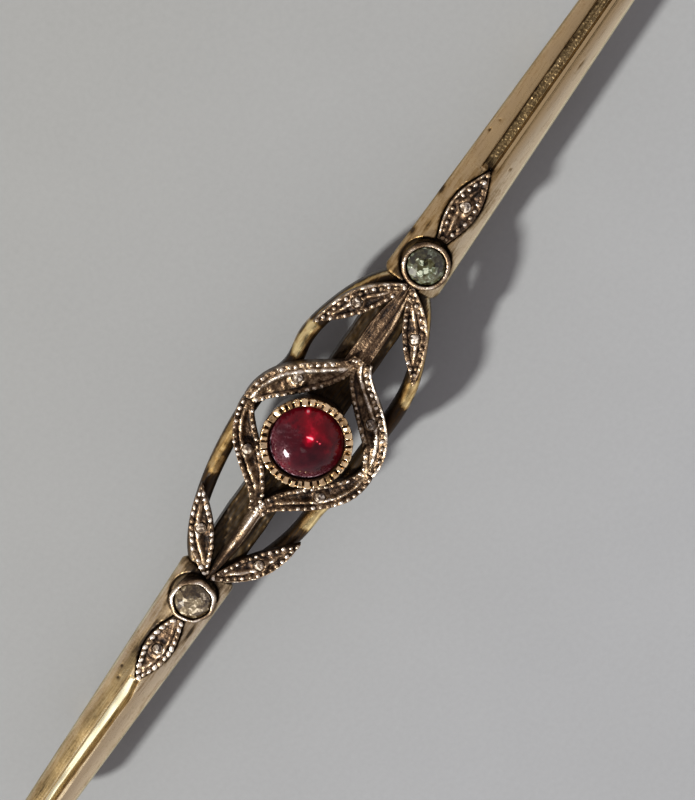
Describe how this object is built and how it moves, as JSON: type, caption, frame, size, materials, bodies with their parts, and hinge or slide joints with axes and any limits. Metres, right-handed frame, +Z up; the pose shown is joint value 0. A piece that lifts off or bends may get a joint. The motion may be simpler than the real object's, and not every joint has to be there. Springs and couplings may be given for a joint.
{
  "type": "bar brooch",
  "caption": "Long grooved gold bar brooch with a pierced silver front of ribbons and leaves round a domed red stone, small diamonds at its sides, and a pin and catch behind.",
  "frame": {"origin": "under the middle of the brooch, on the surface that the hinge lug and the catch rest on", "axes": "+X along the bar towards the catch, +Y across the bar, +Z up out of the face"},
  "size_m": [0.064, 0.0089, 0.007],
  "materials": {
    "gold": "worn satin yellow gold with brown tarnish in the groove and round the ornament",
    "silver": "old silver, dark brown in its hollows and polished on its beads and ridges",
    "red_stone": "deep red domed stone, polished, with an abraded edge",
    "diamond": "old-cut and rose-cut diamond, slightly grey"
  },
  "bodies": {
    "root": {"gold_bar": "gold", "silver_openwork": "silver", "sprig_left": "silver", "sprig_right": "silver", "collet_left": "silver", "collet_right": "silver", "diamond_left": "diamond", "diamond_right": "diamond", "stone_bezel": "gold", "red_stone": "red_stone", "rose_ribbon_1": "diamond", "rose_ribbon_2": "diamond", "rose_ribbon_3": "diamond", "rose_ribbon_4": "diamond", "rose_leaf_1": "diamond", "rose_leaf_2": "diamond", "rose_leaf_3": "diamond", "rose_leaf_4": "diamond", "rose_sprig_left": "diamond", "rose_sprig_right": "diamond", "pin_and_catch": "gold"}
  },
  "joints": []
}
